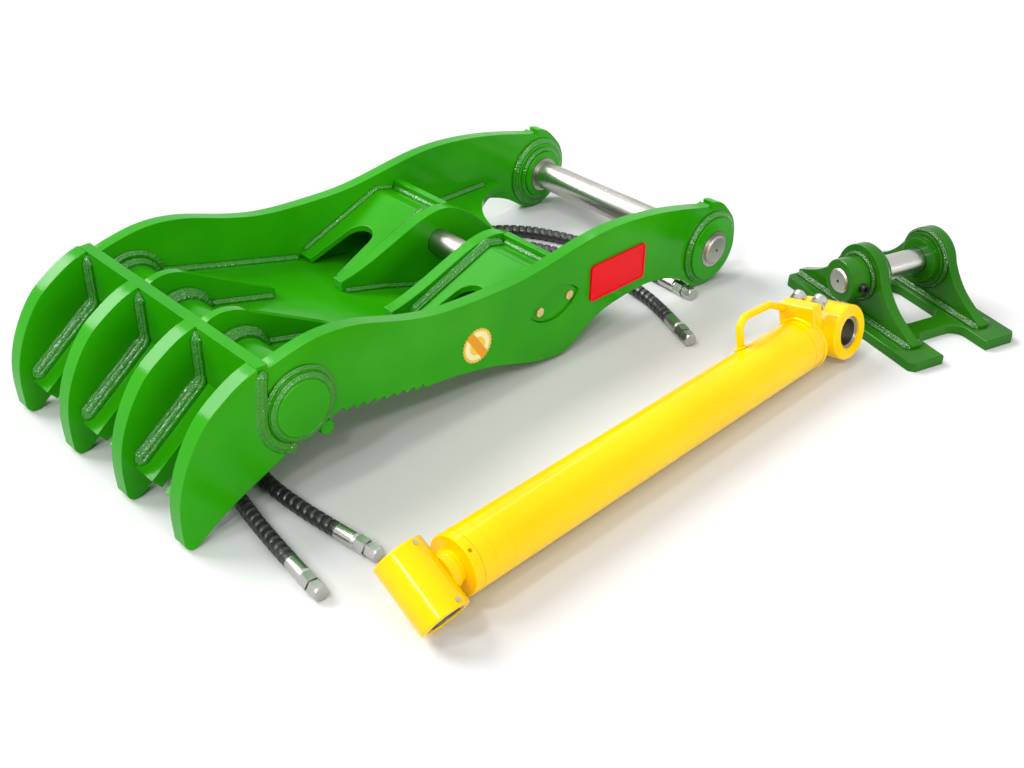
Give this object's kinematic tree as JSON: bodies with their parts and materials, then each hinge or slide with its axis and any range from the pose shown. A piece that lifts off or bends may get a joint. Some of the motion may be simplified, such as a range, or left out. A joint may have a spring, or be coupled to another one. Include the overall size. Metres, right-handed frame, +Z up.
{
  "type": "hydraulic thumb",
  "caption": "Hydraulic thumb kit for an excavator arm: serrated jaw weldment with curved tines and pivot pin, loose hydraulic cylinder, weld-on pin bracket and capped hoses.",
  "frame": {"origin": "middle of the thumb's main pivot pin, on its axis", "axes": "+X from the tine tips to the pivot ears, +Y along the pivot pin away from the loose cylinder, +Z up from the floor the kit lies on"},
  "size_m": [1.6159, 1.0926, 0.2695],
  "materials": {
    "green_paint": "thick high-gloss paint over welds",
    "dark_green_paint": "thick high-gloss paint, bare edges",
    "yellow_paint": "glossy yellow paint",
    "chrome_rod": "hard chromed, ground",
    "pin_steel": "turned bright steel",
    "bush_steel": "bored steel, oiled",
    "inner_steel": "machined",
    "zinc_fittings": "bright zinc plate",
    "gold_zinc": "yellow zinc plate",
    "black_steel": "black oxide",
    "red_enamel": "gloss enamel",
    "gold_foil": "metallic foil",
    "hose_rubber": "spiral-guarded rubber",
    "seal_rubber": "moulded rubber"
  },
  "bodies": {
    "thumb": {"side_plate_near": "green_paint", "side_plate_far": "green_paint", "tine_outer_near": "green_paint", "tine_inner_near": "green_paint", "tine_inner_far": "green_paint", "tine_outer_far": "green_paint", "comb_plate": "green_paint", "cross_tube": "green_paint", "tube_collars": "green_paint", "fin_near": "green_paint", "fin_far": "green_paint", "floor_plate": "green_paint", "wing_plate": "green_paint", "clevis_near": "green_paint", "clevis_far": "green_paint", "clevis_bosses": "green_paint", "cover_near": "green_paint", "cover_far": "green_paint", "rim_near": "green_paint", "rim_far": "green_paint", "lower_bar": "green_paint", "pivot_boss_near": "green_paint", "pivot_boss_far": "green_paint", "pin_keeper": "green_paint", "pivot_bushes": "bush_steel", "rod_pin": "pin_steel", "keeper_bolts": "gold_zinc", "name_plate": "red_enamel", "round_seal": "gold_foil", "hose_1": "hose_rubber", "hose_2": "hose_rubber", "hose_ferrules": "zinc_fittings", "hose_nuts": "zinc_fittings", "hose_plugs": "zinc_fittings"},
    "pivot_pin": {"main_pin": "pin_steel"},
    "cylinder": {"barrel": "yellow_paint", "gland": "yellow_paint", "cap_eye": "yellow_paint", "cap_bush": "bush_steel", "snap_rings": "bush_steel", "port_block": "yellow_paint", "port_adapters": "zinc_fittings", "port_plugs": "zinc_fittings", "lifting_handle": "yellow_paint", "rod_seals": "seal_rubber"},
    "piston_ring_set": {"piston_seals": "seal_rubber"},
    "rod_assembly": {"rod": "chrome_rod", "rod_eye": "yellow_paint", "rod_bush": "bush_steel", "grease_nipples": "zinc_fittings", "piston": "inner_steel", "piston_nut": "inner_steel"},
    "bracket": {"bracket_base": "dark_green_paint", "bracket_ear_near": "dark_green_paint", "bracket_ear_far": "dark_green_paint", "bracket_bosses": "dark_green_paint", "bracket_collar": "dark_green_paint", "bracket_pin": "pin_steel", "lock_bolt": "black_steel", "lock_nut": "gold_zinc"}
  },
  "joints": [
    {"name": "pivot_pin_draw", "type": "slide", "parent": "thumb", "child": "pivot_pin", "axis": [0, 1, 0], "range_m": [0, 0.6]},
    {"name": "cylinder_lift", "type": "slide", "parent": "thumb", "child": "cylinder", "axis": [0, 0, 1], "range_m": [0, 0.5]},
    {"name": "rod_stroke", "type": "slide", "parent": "cylinder", "child": "piston_ring_set", "axis": [-0.9997, -0.0256, 0.0038], "range_m": [0, 0.7]},
    {"name": "rod_turn", "type": "hinge", "parent": "piston_ring_set", "child": "rod_assembly", "pos_m": [-1.0744, -0.6138, -0.02038], "axis": [0.9997, 0.0256, -0.0038], "continuous": true},
    {"name": "bracket_lift", "type": "slide", "parent": "thumb", "child": "bracket", "axis": [0, 0, 1], "range_m": [0, 0.5]}
  ]
}
